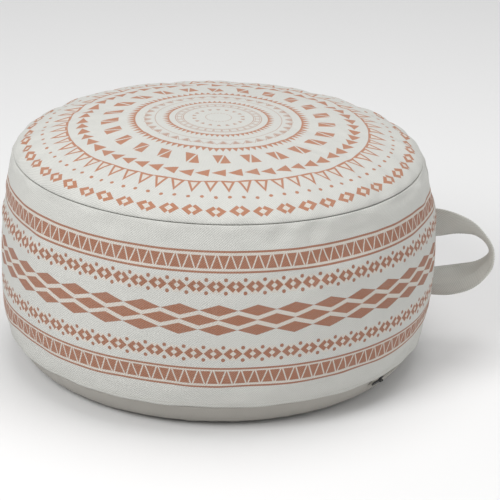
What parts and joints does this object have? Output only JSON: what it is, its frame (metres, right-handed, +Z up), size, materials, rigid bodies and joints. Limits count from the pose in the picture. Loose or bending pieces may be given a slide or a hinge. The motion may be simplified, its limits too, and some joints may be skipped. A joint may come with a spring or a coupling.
{
  "type": "floor cushion",
  "caption": "Round inflatable floor cushion with crowned top, printed canvas cover, zipped base seam and a folded carry strap on the side.",
  "frame": {"origin": "on the floor, at the middle of the flat underside, on the cushion's vertical axis", "axes": "+Z up along the cushion's axis, +X towards the carry strap and its seam, -Y towards the viewer of the picture"},
  "size_m": [0.6024, 0.53, 0.2995],
  "materials": {
    "printed_canvas": "grey-beige canvas with a terracotta print",
    "plain_canvas": "plain grey-beige canvas",
    "woven_tape": "plain woven polyester tape",
    "satin_label": "smooth satin, blank",
    "nylon_coil": "dyed nylon coil",
    "black_lacquer": "black lacquered metal",
    "grey_pvc": "satin PVC film",
    "soft_stopper": "soft moulded PVC"
  },
  "bodies": {
    "cushion": {"top_panel": "printed_canvas", "side_band": "printed_canvas", "bottom_panel": "plain_canvas", "top_seam_binding": "woven_tape", "base_seam_binding": "woven_tape", "join_seam_binding": "woven_tape", "handle_patch": "woven_tape", "care_label": "satin_label", "zip_tape_upper": "woven_tape", "zip_tape_lower": "woven_tape", "zip_coil_upper": "nylon_coil", "zip_coil_lower": "nylon_coil", "zip_stop_start": "nylon_coil", "zip_stop_end": "nylon_coil", "zip_end_tab": "woven_tape", "bladder_top_sheet": "grey_pvc", "bladder_side_wall": "grey_pvc", "bladder_base_sheet": "grey_pvc", "bladder_top_weld": "grey_pvc", "bladder_base_weld": "grey_pvc", "tie_ring_top": "grey_pvc", "tie_ring_base": "grey_pvc", "tie_band_1": "grey_pvc", "tie_band_2": "grey_pvc", "tie_band_3": "grey_pvc", "tie_band_4": "grey_pvc", "valve_flange": "grey_pvc", "valve_body": "grey_pvc"},
    "strap": {"handle_strap": "printed_canvas"},
    "slider": {"zip_slider": "black_lacquer"},
    "pull": {"zip_pull": "black_lacquer"},
    "plug": {"valve_plug": "soft_stopper"},
    "flap": {"valve_flap": "soft_stopper"}
  },
  "joints": [
    {"name": "strap_swing", "type": "hinge", "parent": "cushion", "child": "strap", "pos_m": [0.2672, 0, 0.131], "axis": [0, 0, 1], "range_deg": [-55, 55]},
    {"name": "zip_travel", "type": "hinge", "parent": "cushion", "child": "slider", "pos_m": [0, 0, 0], "axis": [0, 0, 1], "range_deg": [0, 177]},
    {"name": "pull_swing", "type": "hinge", "parent": "slider", "child": "pull", "pos_m": [0.19823, -0.15487, 0.02883], "axis": [0.4281, -0.3344, 0.8396], "range_deg": [0, 150]},
    {"name": "plug_out", "type": "slide", "parent": "cushion", "child": "plug", "axis": [0, 0, -1], "range_m": [0, 0.016]},
    {"name": "flap_lift", "type": "hinge", "parent": "cushion", "child": "flap", "pos_m": [-0.0086, 0, 0.0695], "axis": [0, -1, 0], "range_deg": [0, 60]}
  ]
}
